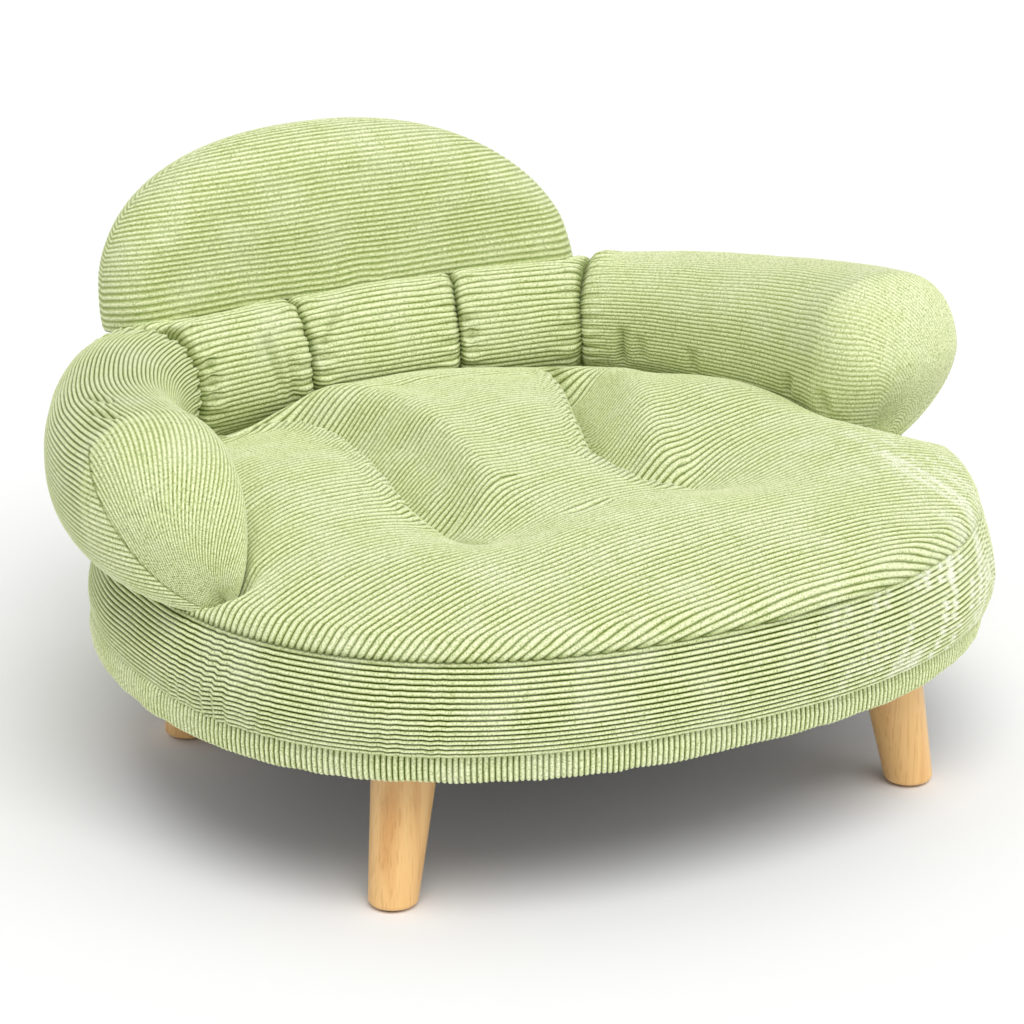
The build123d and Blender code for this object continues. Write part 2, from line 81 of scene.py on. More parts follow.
# Plan of the arms and the back, from the middle of the base
arm_end_x = seat_half_x
arm_end_y = 0.008
arm_corner_x = 0.205
arm_corner_y = 0.285
arm_end_width = 0.130
arm_corner_width = 0.100
back_front_bow = 0.017
back_rear_bow = 0.039
back_seam_share = 0.39
left_arm_end = (-0.323, 0.010)
left_arm_tip = (-0.305, -0.078)
left_end_reach = 0.062
left_tip_reach = 0.010


# Small tools for shaping

def smooth(t):
    """Eases from 0 to 1."""
    t = np.clip(t, 0, 1)
    return t * t * (3 - 2 * t)


def eased(value, start, run):
    """Eases from 0 to 1 as a value goes from a start over a run."""
    return smooth((value - start) / run)


def quarter_round(t):
    """Rises steeply from 0 and levels out at 1."""
    t = np.clip(t, 0, 1)
    return np.sqrt(1 - (1 - t) ** 2)


def bell(distance, width):
    """1 at no distance, falling smoothly away over the width."""
    return np.exp(-(distance / width) ** 2)


def lattice(corner, seed):
    """A steady pseudo-random value for each whole-number corner."""
    spread = corner[:, 0] * 127.1 + corner[:, 1] * 311.7 + corner[:, 2] * 74.7 + seed * 53.3
    scattered = np.sin(spread) * 43758.5453
    return scattered - np.floor(scattered)


def wander(points, size, seed):
    """Smooth noise from -1 to 1 with features of the given size."""
    scaled = points / size
    low = np.floor(scaled)
    ease = smooth(scaled - low)
    total = np.zeros(len(points))
    for corner in np.ndindex(2, 2, 2):
        step = np.array(corner)
        weight = np.prod(np.where(step == 1, ease, 1 - ease), axis=1)
        total += weight * lattice(low + step, seed)
    return total * 2 - 1


def uneven(points, size, depth, seed, fine_size, fine_seed):
    """A filling's soft unevenness: wide swellings of a given size and depth, and finer ones."""
    return wander(points, size, seed) * depth + wander(points, fine_size, fine_seed) * fine_swell


def rib(phase):
    """Corduroy's profile: 0 in the valley at whole numbers, 1 on the rounded ridge."""
    across = 2 * np.abs(phase - np.floor(phase) - 0.5)
    return (1 - across ** 2) ** 0.75


def near_path(places, path):
    """Distance of each place from a path, the share of the path passed there, and the side it lies on."""
    best = np.full(places.shape[:-1], 1e9)
    share = np.zeros(places.shape[:-1])
    side = np.zeros(places.shape[:-1])
    runs = len(path) - 1
    for k in range(runs):
        start = np.array(path[k])
        run = np.array(path[k + 1]) - start
        offset = places - start
        t = np.clip(offset @ run / (run @ run), 0, 1)
        distance = np.linalg.norm(offset - t[..., None] * run, axis=-1)
        nearer = distance < best
        best = np.where(nearer, distance, best)
        share = np.where(nearer, (k + t) / runs, share)
        side = np.where(nearer, run[0] * offset[..., 1] - run[1] * offset[..., 0], side)
    return best, share, side


def furrow(distance, share, depth, width, fade):
    """A crease with soft shoulders that fades out at both ends of its path."""
    ends = smooth(share / fade) * smooth((1 - share) / fade)
    shoulders = shoulder_height * bell(distance - shoulder_place * width, shoulder_width * width)
    return ends * depth * (shoulders - bell(distance, width))


def crease(places, path, depth, left_width, right_width, fade):
    """A sewn or pulled crease in plan, with a wall of its own width on each side."""
    distance, share, side = near_path(places, path)
    return furrow(distance, share, depth, np.where(side > 0, left_width, right_width), fade)


# Ovals and the plan of the bolsters

def oval_radius(angle, half_x, half_y, power=oval_power):
    """Distance from the centre to an oval's edge in a direction."""
    across = (np.abs(np.cos(angle)) / half_x) ** power
    return (across + (np.abs(np.sin(angle)) / half_y) ** power) ** (-1 / power)


arm_run_x = arm_end_x - arm_corner_x
arm_run_y = arm_corner_y - arm_end_y
arm_radius = (arm_run_x ** 2 + arm_run_y ** 2) / (2 * arm_run_x)
arm_sweep = math.atan2(arm_run_y, arm_radius - arm_run_x)


def arm_half(share):
    """Half the arm's width, share 0 at its front end."""
    return (arm_end_width + (arm_corner_width - arm_end_width) * share) / 2


def arm_plan(share, side):
    """Plan points beside the right arm's centre line: share 0 is its front end, side -1 is inside."""
    reach = arm_radius + side * arm_half(share)
    angle = arm_sweep * share
    return np.stack([arm_end_x - arm_radius + reach * np.cos(angle), arm_end_y + reach * np.sin(angle)], -1)


front_corner = arm_plan(np.array(1.0), -1)
rear_corner = arm_plan(np.array(1.0), 1)


def bowed(x, corner, bow):
    """Height of an arc through both corners that bows backward."""
    radius = (corner[0] ** 2 + bow ** 2) / (2 * bow)
    return corner[1] + bow - radius + np.sqrt(np.maximum(radius ** 2 - x ** 2, 0))


def back_plan(share, corner, bow):
    """Plan points on the front or rear of the back bolster, share -1 to 1 across it."""
    x = corner[0] * share
    return np.stack([x, bowed(x, corner, bow)], -1)


def room_inside(x, y):
    """Distance inward from the faces of the arms and the back, negative under them."""
    side_x = np.abs(x)
    from_axis = side_x - arm_end_x + arm_radius
    share = np.clip(np.arctan2(y - arm_end_y, from_axis) / arm_sweep, 0, 1)
    beside = arm_radius - arm_half(share) - np.hypot(from_axis, y - arm_end_y)
    before = np.hypot(side_x - arm_end_x, y - arm_end_y) - arm_end_width / 2
    from_tip, share, _ = near_path(np.stack([x, y], -1), (left_arm_end, left_arm_tip))
    before_left = from_tip - left_end_reach * (1 - share) - left_tip_reach * share
    arms = np.where(y > arm_end_y, beside, np.where(x < 0, before_left, before))
    back = bowed(np.clip(x, -front_corner[0], front_corner[0]), front_corner, back_front_bow) - y
    return np.minimum(arms, back)


# Meshes

def grid_faces(rows, columns, start=0, closed=False):
    """Quads between the points of a grid stored row by row."""
    i = np.arange(rows - 1)[:, None]
    j = np.arange(columns if closed else columns - 1)[None, :]
    here = start + i * columns + j
    beside = start + i * columns + (j + 1) % columns
    return np.stack([here, beside, beside + columns, here + columns], -1).reshape(-1, 4).tolist()


def grid_border(rows, columns):
    """The points round the edge of a grid, in order."""
    index = np.arange(rows * columns).reshape(rows, columns)
    return np.concatenate([index[:, -1], index[-1, -2:0:-1], index[::-1, 0], index[0, 1:-1]])


def pair_faces(rows, columns, edges):
    """Quads of two equal sheets stored one after the other, and of walls between some edges."""
    size = rows * columns
    faces = grid_faces(rows, columns) + grid_faces(rows, columns, size)
    for edge in edges:
        faces += [[here, after, after + size, here + size] for here, after in zip(edge, edge[1:])]
    return faces


def run_lengths(x, y):
    """Length of a line of points up to each of them."""
    return np.concatenate([[0], np.cumsum(np.hypot(np.diff(x), np.diff(y)))])


def ring(radius, angle, height):
    """Points round the middle at one height."""
    return np.stack([radius * np.cos(angle), radius * np.sin(angle), np.full(len(angle), height)], -1)


def zip_loops(loop_a, angle_a, loop_b, angle_b):
    """Triangles between two closed loops with different numbers of points, both ordered by angle."""
    ends_a = angle_a[1:] + [angle_a[0] + 2 * math.pi, math.inf]
    ends_b = angle_b[1:] + [angle_b[0] + 2 * math.pi, math.inf]
    faces = []
    i = 0
    j = 0
    for _ in range(len(loop_a) + len(loop_b)):
        a = loop_a[i % len(loop_a)]
        b = loop_b[j % len(loop_b)]
        if ends_a[i] <= ends_b[j]:
            i += 1
            faces.append([a, loop_a[i % len(loop_a)], b])
        else:
            j += 1
            faces.append([a, loop_b[j % len(loop_b)], b])
    return faces


def add_object(name, data):
    """A new object in the scene."""
    added = bpy.data.objects.new(name, data)
    bpy.context.collection.objects.link(added)
    return added


def read_values(collection, label, size=1):
    """Numbers of a mesh's points, with a row for each point where it has several."""
    values = np.empty(len(collection) * size, dtype=np.float32)
    collection.foreach_get(label, values)
    return values if size == 1 else values.reshape(-1, size)


def cloth_piece(name, points, faces, wale, shade=None, wrinkles=(), brushed=None):
    """A closed cloth mesh whose ribs and wrinkles are cut into it along its normals."""
    mesh = bpy.data.meshes.new(name)
    mesh.from_pydata((points + [0, centre_y, 0]).tolist(), [], faces)
    shade = np.ones(len(points)) if shade is None else shade
    brushed = np.zeros(len(points)) if brushed is None else brushed
    # The shade layer carries painted shade into the corduroy's colour
    for label, values in (("wale", wale), ("shade", shade), ("brushed", brushed)):
        layer = mesh.attributes.new(label, "FLOAT", "POINT")
        layer.data.foreach_set("value", np.ascontiguousarray(values, dtype=np.float32))
    work = bmesh.new()
    work.from_mesh(mesh)
    bmesh.ops.remove_doubles(work, verts=work.verts, dist=1e-6)
    bmesh.ops.recalc_face_normals(work, faces=work.faces)
    work.to_mesh(mesh)
    work.free()
    place = read_values(mesh.vertices, "co", 3)
    normal = read_values(mesh.vertices, "normal", 3)
    cut = (read_values(mesh.attributes["wale"].data, "value") - 1) * rib_height
    dark = read_values(mesh.attributes["shade"].data, "value")
    from_centre = place - [0, centre_y, 0]
    for path, depth, width in wrinkles:
        distance, share, _ = near_path(from_centre, path)
        dent = furrow(distance, share, depth, width, wrinkle_fade)
        cut += dent
        # Painted shade in each wrinkle, darker where it is deeper
        dark += np.minimum(dent, 0) * wrinkle_shade_darkness
    mesh.vertices.foreach_set("co", (place + normal * cut[:, None]).ravel())
    mesh.attributes["shade"].data.foreach_set("value", dark)
    mesh.polygons.foreach_set("use_smooth", np.ones(len(mesh.polygons), dtype=bool))
    mesh.update()
    mesh.materials.append(corduroy)
    return add_object(name, mesh)


# Materials

def set_inputs(node, **values):
    """Sets a node's inputs by name, with an underscore for each space."""
    for label, value in values.items():
        node.inputs[label.replace("_", " ")].default_value = value


class Finish:
    """A node material while it is built, patterned in object space."""

    def __init__(self, name):
        self.material = bpy.data.materials.new(name)
        self.material.use_nodes = True
        self.nodes = self.material.node_tree.nodes
        self.links = self.material.node_tree.links
        self.shader = self.nodes["Principled BSDF"]
        self.place = self.nodes.new("ShaderNodeTexCoord").outputs["Object"]

    def layer(self, label):
        """The values that a mesh's points carry under a name."""
        attribute = self.nodes.new("ShaderNodeAttribute")
        attribute.attribute_name = label
        return attribute.outputs["Fac"]

    def noise(self, scale, detail, stretch=(1, 1, 1)):
        """Noise, stretched along an axis where wanted."""
        mapping = self.nodes.new("ShaderNodeMapping")
        set_inputs(mapping, Scale=stretch)
        self.links.new(self.place, mapping.inputs["Vector"])
        noise = self.nodes.new("ShaderNodeTexNoise")
        set_inputs(noise, Scale=scale, Detail=detail)
        self.links.new(mapping.outputs["Vector"], noise.inputs["Vector"])
        return noise.outputs["Fac"]

    def ramp(self, factor, *stops):
        """Colours at the given places of a factor."""
        ramp = self.nodes.new("ShaderNodeValToRGB")
        elements = ramp.color_ramp.elements
        while len(elements) < len(stops):
            elements.new(0.5)
        for element, (place, colour) in zip(elements, stops):
            element.position = place
            element.color = (*colour, 1)
        self.links.new(factor, ramp.inputs["Fac"])
        return ramp.outputs["Color"]

    def mix(self, blend_type, factor, first, second):
        """Two colours mixed; the factor and both colours are values or sockets."""
        mix = self.nodes.new("ShaderNodeMix")
        mix.data_type = "RGBA"
        mix.blend_type = blend_type
        for index, value in ((0, factor), (6, first), (7, second)):
            if isinstance(value, float):
                mix.inputs[index].default_value = value
            elif isinstance(value, tuple):
                mix.inputs[index].default_value = (*value, 1)
            else:
                self.links.new(value, mix.inputs[index])
        return mix.outputs[2]

    def finished(self, colour, height, strength, distance, **values):
        """The material, with its colour, the bump of a height and its shader's other inputs."""
        bump = self.nodes.new("ShaderNodeBump")
        set_inputs(bump, Strength=strength, Distance=distance)
        self.links.new(height, bump.inputs["Height"])
        self.links.new(bump.outputs["Normal"], self.shader.inputs["Normal"])
        self.links.new(colour, self.shader.inputs["Base Color"])
        set_inputs(self.shader, **values)
        return self.material


black = (0.0, 0.0, 0.0)
white = (1.0, 1.0, 1.0)
# Darkest colour of the rib valleys: painted shade in the grooves
rib_valley_shade_green = (0.045, 0.065, 0.009)
slope_green = (0.440, 0.520, 0.190)
ridge_green = (0.800, 0.855, 0.510)
pale_green = (0.920, 0.940, 0.760)
# Colour of the darkest painted shade, in seams, creases and wrinkles
painted_shade_green = (0.30, 0.36, 0.12)
pile_low = (0.58, 0.63, 0.46)
pile_high = (1.18, 1.15, 1.28)
pore_brown = (0.80, 0.72, 0.62)


def corduroy_material():
    """Sage corduroy: painted shade in the rib valleys and from the shade layer, pale brushed ridges, uneven
    nap and pile speckle.
    """
    cloth = Finish("corduroy")
    # Ribs: the valleys darkened with painted shade, the ridges in the cloth's pale green
    ribs = cloth.ramp(cloth.layer("wale"), (0.08, rib_valley_shade_green), (0.55, slope_green), (0.95, ridge_green))
    nap = cloth.ramp(cloth.noise(26, 6), (0.42, black), (0.72, white))
    napped = cloth.mix("MIX", nap, ribs, cloth.mix("MIX", 0.20, ribs, pale_green))
    streaked = cloth.mix("MIX", cloth.layer("brushed"), napped, pale_green)
    pile = cloth.noise(760, 3)
    speckle = cloth.ramp(pile, (0.33, pile_low), (0.50, white), (0.68, pile_high))
    speckled = cloth.mix("MULTIPLY", 1.0, streaked, speckle)
    # Painted shade from the shade layer: seams, creases, wrinkles and the bolsters' closed ends
    shade_tint = cloth.ramp(cloth.layer("shade"), (0.0, painted_shade_green), (1.0, white))
    return cloth.finished(cloth.mix("MULTIPLY", 1.0, speckled, shade_tint), pile, 0.35, 0.0004, Roughness=0.92,
                          Specular_IOR_Level=0.15, Sheen_Weight=0.25, Sheen_Roughness=0.45,
                          Sheen_Tint=(0.92, 1.0, 0.75, 1))


def wood_material(name, light, dark, roughness, coat, grain_scale):
    """Straight-grained timber with fine pores along its length."""
    wood = Finish(name)
    between = tuple(0.5 * (a + b) for a, b in zip(light, dark))
    bands = wood.noise(grain_scale, 5, (1, 1, 0.06))
    grain = wood.ramp(bands, (0.30, dark), (0.52, light), (0.75, between))
    pores = wood.noise(grain_scale * 9, 3, (1, 1, 0.03))
    pitted = wood.mix("MULTIPLY", 0.6, grain, wood.ramp(pores, (0.36, pore_brown), (0.46, white)))
    return wood.finished(pitted, pores, 0.15, 0.0002, Roughness=roughness, Coat_Weight=coat,
                         Coat_Roughness=0.3)


def speckled_material(name, first, second, scale, roughness, metallic=0.0, relief=0.0003,
                      stretch=(1, 1, 1)):
    """Two colours mixed by noise, with a bump of the same noise."""
    speckled = Finish(name)
    noise = speckled.noise(scale, 4, stretch)
    colour = speckled.ramp(noise, (0.35, first), (0.65, second))
    return speckled.finished(colour, noise, 0.4, relief, Roughness=roughness, Metallic=metallic)


def woven_material(name, thread, gap, spacing, roughness):
    """Plain weave: two crossed sets of threads."""
    cloth = Finish(name)
    cross = cloth.nodes.new("ShaderNodeMath")
    cross.operation = "MULTIPLY"
    for index, direction in enumerate(("X", "Y")):
        wave = cloth.nodes.new("ShaderNodeTexWave")
        wave.bands_direction = direction
        set_inputs(wave, Scale=0.314 / spacing, Distortion=0.4)
        cloth.links.new(cloth.place, wave.inputs["Vector"])
        cloth.links.new(wave.outputs["Fac"], cross.inputs[index])
    weave = cross.outputs["Value"]
    colour = cloth.ramp(weave, (0.0, gap), (0.5, thread))
    return cloth.finished(colour, weave, 0.5, 0.0002, Roughness=roughness)


corduroy = corduroy_material()
beech = wood_material("beech", (0.90, 0.56, 0.22), (0.76, 0.40, 0.13), 0.42, 0.25, 60)
plywood = wood_material("plywood", (0.62, 0.44, 0.25), (0.50, 0.33, 0.17), 0.7, 0.0, 30)
zinc = speckled_material("zinc_steel", (0.52, 0.54, 0.56), (0.68, 0.69, 0.70), 160, 0.35, 1.0, 0.00005)
zip_metal = speckled_material("zip_metal", (0.55, 0.53, 0.47), (0.70, 0.68, 0.62), 400, 0.3, 1.0, 0.00003)
foam = speckled_material("foam", (0.72, 0.68, 0.50), (0.84, 0.81, 0.66), 700, 0.95, relief=0.0006)
fibre = speckled_material("fibre_filling", (0.78, 0.78, 0.74), (0.90, 0.90, 0.87), 220, 0.98, relief=0.0012)
nylon = speckled_material("glide_nylon", (0.018, 0.016, 0.015), (0.030, 0.028, 0.026), 500, 0.55,
                          relief=0.00005)
tie_cord = speckled_material("tie_cord", (0.50, 0.53, 0.36), (0.66, 0.69, 0.50), 900, 0.9,
                             stretch=(1, 1, 0.2))
hook_tape = woven_material("hook_tape", (0.36, 0.41, 0.16), (0.16, 0.20, 0.06), 0.0016, 0.9)
zip_cloth = woven_material("zip_cloth", (0.30, 0.36, 0.12), (0.15, 0.19, 0.05), 0.0010, 0.85)
dust_cloth = woven_material("dust_cloth", (0.012, 0.012, 0.012), (0.003, 0.003, 0.003), 0.0012, 0.95)

# Materials of the CAD's nodes by how their names start. Fillings are fibre, and the rest is corduroy
node_materials = (
    (zinc, ("leg_plate", "hanger_bolt", "plate_screws", "staples")), (beech, "leg_"), (nylon, "foot_glide"),
    (plywood, "base_board"), (foam, "base_padding"), (dust_cloth, "dust_cover"), (tie_cord, "tuft_ties"),
    (hook_tape, ("hook_strips", "loop_strips")), (zip_cloth, "zip_tape"),
    (zip_metal, ("zip_slider", "zip_pull")),
)

for node_name, node_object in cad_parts.items():
    finish = fibre if node_name.endswith("_fill") else corduroy
    finish = next((material for material, starts in node_materials if node_name.startswith(starts)), finish)
    if not node_object.material_slots:
        node_object.data.materials.append(finish)
    for material_slot in node_object.material_slots:
        material_slot.material = finish


# Seat cushion

seam_height = seat_low[2] + 0.0617
# Painted shade along the seam round the top panel: darkness and width
seam_shade_darkness = 0.70
seam_shade_width = 0.0020
seam_tuck_depth = 0.0030
seam_tuck_run = 0.004
soft_seam_angle = -0.65
soft_seam_spread = 0.50
soft_seam_share = 0.75
edge_round = 0.011
fabric_half_x = seat_half_x + edge_round * (math.pi / 2 - 1)
fabric_half_y = seat_half_y + edge_round * (math.pi / 2 - 1)
seat_lift_open = 0.015
seat_lift_covered = -0.001
crown_rise = 0.029
crown_from = 0.008
crown_run = 0.120
crown_power = 2.2
nest_run = 0.070
rib_turn = math.radians(9)
rib_widening = 0.36
lip_drop = 0.0063
band_belly = 0.004
band_round = 0.006
seat_bulge = 0.009
seat_bulge_angle = -0.40
seat_bulge_spread = 0.60
# Rib strengths set how deep the ribs are cut and how dark their painted valley shade is; they differ
# between pieces with how much light falls on each
top_rib_strength = 0.85
band_rib_strength = 1.25
seat_columns = 116
band_columns = 360
band_spacing = 0.88 * rib_spacing
widening_from = -0.26
widening_run = 0.20
underside_insets = (0.03, 0.08, 0.16, 0.24)
# Painted shade along the seat's two deep creases: darkness and width
crease_shade_darkness = 0.55
crease_shade_width = 0.010

# Streaks of crushed pile: width, slant, stretch, and where the noise is strong enough to show
streak_width = 0.0055
streak_slant = 0.4
streak_stretch = 0.22
streak_from = 0.10
streak_run = 0.35

# Tufts and the creases that run from them, in plan from the middle of the base
tufts = ((-0.103, -0.087), (0.100, -0.063))
left_valley = ((-0.106, -0.092), (-0.119, -0.041), (-0.115, 0.010), (-0.105, 0.075), (-0.101, 0.138),
               (-0.107, 0.176), (-0.122, 0.203), (-0.152, 0.214), (-0.178, 0.206))
right_valley = ((0.096, -0.088), (0.070, -0.074), (0.057, -0.048), (0.054, -0.014),
                (0.080, 0.058), (0.108, 0.126), (0.128, 0.182), (0.138, 0.225))
left_fold = ((-0.088, -0.045), (-0.074, 0.020), (-0.066, 0.082), (-0.072, 0.140))
front_fold = ((-0.046, -0.116), (-0.018, -0.112), (0.006, -0.115))
tuft_pull = 0.30
tuft_pull_radius = 0.042

# Depth and width of each tuft's dips
tuft_dips = ((0.016, 0.058), (0.010, 0.026))

# Creases: path, depth, widths of the left and right walls, and the share that fades at each end
seat_creases = (
    (left_valley, 0.036, 0.012, 0.038, 0.16),
    (right_valley, 0.031, 0.011, 0.029, 0.12),
    (left_fold, 0.005, 0.009, 0.014, 0.30),
    (front_fold, 0.003, 0.007, 0.007, 0.30),
)

# Swellings: middle, stretch along x and y, height and radius
seat_lobes = (
    (0.010, 0.110, 0.9, 1.3, 0.010, 0.075),
    (-0.010, -0.165, 2.8, 1, 0.007, 0.045),
    (-0.190, 0.040, 1, 1.3, 0.009, 0.062),
    (0.185, 0.070, 1, 1, 0.009, 0.060),
    (0.235, -0.075, 1, 1, 0.004, 0.060),
)

# How far and how widely the seat sinks at the back corners
corner_sink = 0.85
corner_radius = 0.125

# Gathers round the band: direction, strength and spread
band_puckers = ((-2.80, 1, 0.13), (-2.35, 0.6, 0.10), (-0.55, 0.7, 0.12))
pucker_length = 0.0135
pucker_depth = 0.0022


def side_bulge(angle):
    """How far the cushion is squashed out towards the front right."""
    return seat_bulge * bell(angle - seat_bulge_angle, seat_bulge_spread)


def seat_top_height(x, y, inward):
    """Height of the seat's top panel over the seam, by plan place and distance from the edge."""
    room = room_inside(x, y)
    behind = eased(y, 0.10, 0.12)
    open_front = eased(room, -0.002, 0.020)
    lift = seat_lift_covered + (seat_lift_open - seat_lift_covered) * open_front
    height = lift * np.sin(np.clip(inward / edge_round, 0, math.pi / 2))
    slope = 1 - (1 - np.clip((inward - crown_from) / crown_run, 0, 1)) ** crown_power
    nest = quarter_round((room + 0.003 + 0.008 * behind) / nest_run)
    corner = corner_sink * bell(np.hypot(np.abs(x) - arm_corner_x, y - arm_corner_y), corner_radius)
    crown = crown_rise * np.maximum(slope, behind * eased(room, -0.012, 0.010)) * nest * (1 - corner)
    relief = sum(crease(np.stack([x, y], -1), *numbers) for numbers in seat_creases)
    for tuft_x, tuft_y in tufts:
        distance = np.hypot(x - tuft_x, (y - tuft_y) * 0.85)
        relief -= sum(depth * bell(distance, width) for depth, width in tuft_dips)
    lobes = sum(rise * bell(np.hypot((x - lobe_x) / stretch_x, (y - lobe_y) / stretch_y), radius)
                for lobe_x, lobe_y, stretch_x, stretch_y, rise, radius in seat_lobes)
    relief += lobes * (1 - corner)
    inside = eased(room, -0.002, 0.034) * smooth(inward / 0.05)
    return height + crown + relief * inside


def seam_strength(angle):
    """Strength of the seam's painted shade and of its tuck, both hard to see at the cushion's front right.
    """
    return seam_shade_darkness * (1 - soft_seam_share * bell(angle - soft_seam_angle, soft_seam_spread))


def pile_streaks(x, y, strength):
    """Slanting streaks where the pile has been crushed pale."""
    along = np.stack([x + y * streak_slant, y * streak_stretch, np.zeros_like(x)], -1)
    return strength * eased(wander(along, streak_width, 31), streak_from, streak_run)


def seat_rib_rows():
    """Places of the top panel's rows across its ribs, and both ends of each row along them."""
    angle = np.linspace(-math.pi, math.pi, 16001)[:-1]
    radius = oval_radius(angle, fabric_half_x, fabric_half_y)
    across = radius * np.sin(angle - rib_turn)
    lowest = int(np.argmin(across))
    across = np.roll(across, -lowest)
    along = np.roll(radius * np.cos(angle - rib_turn), -lowest)
    highest = int(np.argmax(across))
    rows = [across[0] + 0.4 * rib_spacing]
    while rows[-1] < across[highest] - 1.6 * rib_spacing:
        wider = 1 + rib_widening * float(eased(rows[-1], widening_from, widening_run))
        rows.append(rows[-1] + rib_spacing * wider)
    right_end = np.interp(rows, across[: highest + 1], along[: highest + 1])
    left_end = np.interp(rows, across[:highest - 1:-1], along[:highest - 1:-1])
    return np.array(rows), left_end, right_end


def seat_top():
    """The ribbed top panel's points row by row, with their rib heights, shades and streaks."""
    row_place, left_end, right_end = seat_rib_rows()
    share = np.linspace(-1, 1, seat_columns + 1)
    share = 0.5 + 0.5 * (0.4 * share + 0.6 * np.sin(share * math.pi / 2))
    along = left_end[:, None] + (right_end - left_end)[:, None] * share
    across = row_place[:, None]
    flat_x = along * math.cos(rib_turn) - across * math.sin(rib_turn)
    flat_y = along * math.sin(rib_turn) + across * math.cos(rib_turn)
    angle = np.arctan2(flat_y, flat_x)
    inward = np.maximum(oval_radius(angle, fabric_half_x, fabric_half_y) - np.hypot(flat_x, flat_y), 0)
    turn = np.clip(inward / edge_round, 0, math.pi / 2)
    drawn = edge_round * (1 - np.cos(turn)) + np.maximum(inward - edge_round * math.pi / 2, 0)
    edge = oval_radius(angle, seat_half_x, seat_half_y)
    reach = (edge - drawn) * (1 + side_bulge(angle) / edge)
    x = reach * np.cos(angle)
    y = reach * np.sin(angle)
    for tuft_x, tuft_y in tufts:
        pull = tuft_pull * bell(np.hypot(x - tuft_x, y - tuft_y), tuft_pull_radius)
        x = x - (x - tuft_x) * pull
        y = y - (y - tuft_y) * pull
    z = seam_height + seat_top_height(x, y, inward)
    top = np.stack([x, y, z], -1).reshape(-1, 3)
    inward = inward.ravel()
    soft = uneven(top, 0.055, 0.0016, 3, 0.023, 4)
    top[:, 2] += soft * smooth(inward / 0.02) * smooth(room_inside(top[:, 0], top[:, 1]) / 0.02)
    ridge = rib(np.repeat(np.arange(len(row_place)) / rib_steps, seat_columns + 1))
    # Painted shade along the seam at the panel's edge
    shade = 1 - seam_strength(angle.ravel()) * bell(inward, seam_shade_width)
    # Painted shade in the creases that run from the tufts
    for valley in (left_valley, right_valley):
        shade -= crease_shade_darkness * bell(near_path(top[:, :2], valley)[0], crease_shade_width)
    streaks = pile_streaks(top[:, 0], top[:, 1], 0.8)
    streaks *= bell(top[:, 0] - 0.27, 0.05) * bell(top[:, 1] + 0.15, 0.08)
    return top, np.stack([1 - top_rib_strength * (1 - ridge), shade, streaks])


def seat_band():
    """Rings of the band and the underside with the same values as the top's, and the rings' directions."""
    angle = np.linspace(-math.pi, math.pi, band_columns, endpoint=False)
    edge = oval_radius(angle, seat_half_x, seat_half_y) + side_bulge(angle)
    around = run_lengths(np.append(edge * np.cos(angle), -edge[0]), np.append(edge * np.sin(angle), 0))[1:]
    pucker = sum(strength * bell(angle - middle, spread) for middle, strength, spread in band_puckers)
    pucker = np.sin(around / pucker_length * 2 * math.pi) * pucker
    belly = band_belly * (1 + 0.5 * bell(angle + 0.55, 0.55))
    overhang = -0.002 + 0.0065 * smooth(-np.sin(angle) / 0.6)
    lower_edge = oval_radius(angle, rim_half_x, rim_half_y) + overhang
    # Deeper ribs and darker painted valley shade at the band's left front, weaker on the right where more
    # light falls
    strength = band_rib_strength * (0.66 + 0.34 * smooth((np.cos(angle + 2.2) + 0.1) / 0.8))
    seam = seam_strength(angle)
    height = seam_height - seat_low[2] + lip_drop
    levels = np.arange(int((height + 0.012) / band_spacing)) * band_spacing
    rings = []
    for level in levels:
        down = min(level, height)
        past = max(level - height, 0)
        share = down / height
        near_bottom = max(0.0, 1 - (height - down) / band_round)
        tuck = band_round * (1 - math.sqrt(max(0.0, 1 - near_bottom ** 2)))
        seam_tuck = seam_tuck_depth * seam * float(bell(level, seam_tuck_run))
        fold = pucker_depth * pucker * (0.35 + 0.65 * share)
        drift = (lower_edge - edge) * float(smooth(share / 0.75))
        radius = edge + drift + belly * math.sin(math.pi * share) ** 0.7 - tuck - past - seam_tuck + fold
        rings.append(ring(radius, angle, seam_height - down + min(1.5 * past, lip_drop)))
    rings += [ring(edge - inset, angle, seat_low[2]) for inset in underside_insets]
    rings.append(ring(edge * 0, angle, seat_low[2]))
    wale = np.ones((len(rings), band_columns))
    wale[:len(levels)] -= strength * (1 - rib(levels / band_spacing / rib_steps))[:, None]
    shade = np.ones_like(wale)
    # Painted shade along the seam at the band's top
    shade[:len(levels)] -= seam * bell(levels, seam_shade_width)[:, None]
    band = np.concatenate(rings)
    outward = band[:, :2] / np.maximum(np.hypot(*band[:, :2].T), 1e-6)[:, None]
    swell = wander(band, 0.045, 7) * 0.0014
    side = slice(len(levels) * band_columns)
    band[side, :2] += outward[side] * swell[side, None]
    band_angle = np.arctan2(band[:, 1], band[:, 0])
    streaks = pile_streaks(band_angle * seat_half_y - band[:, 2], band[:, 2], 1.0)
    streaks *= bell(band_angle + 0.84, 0.34)
    return band, np.stack([wale.ravel(), shade.ravel(), streaks]), angle


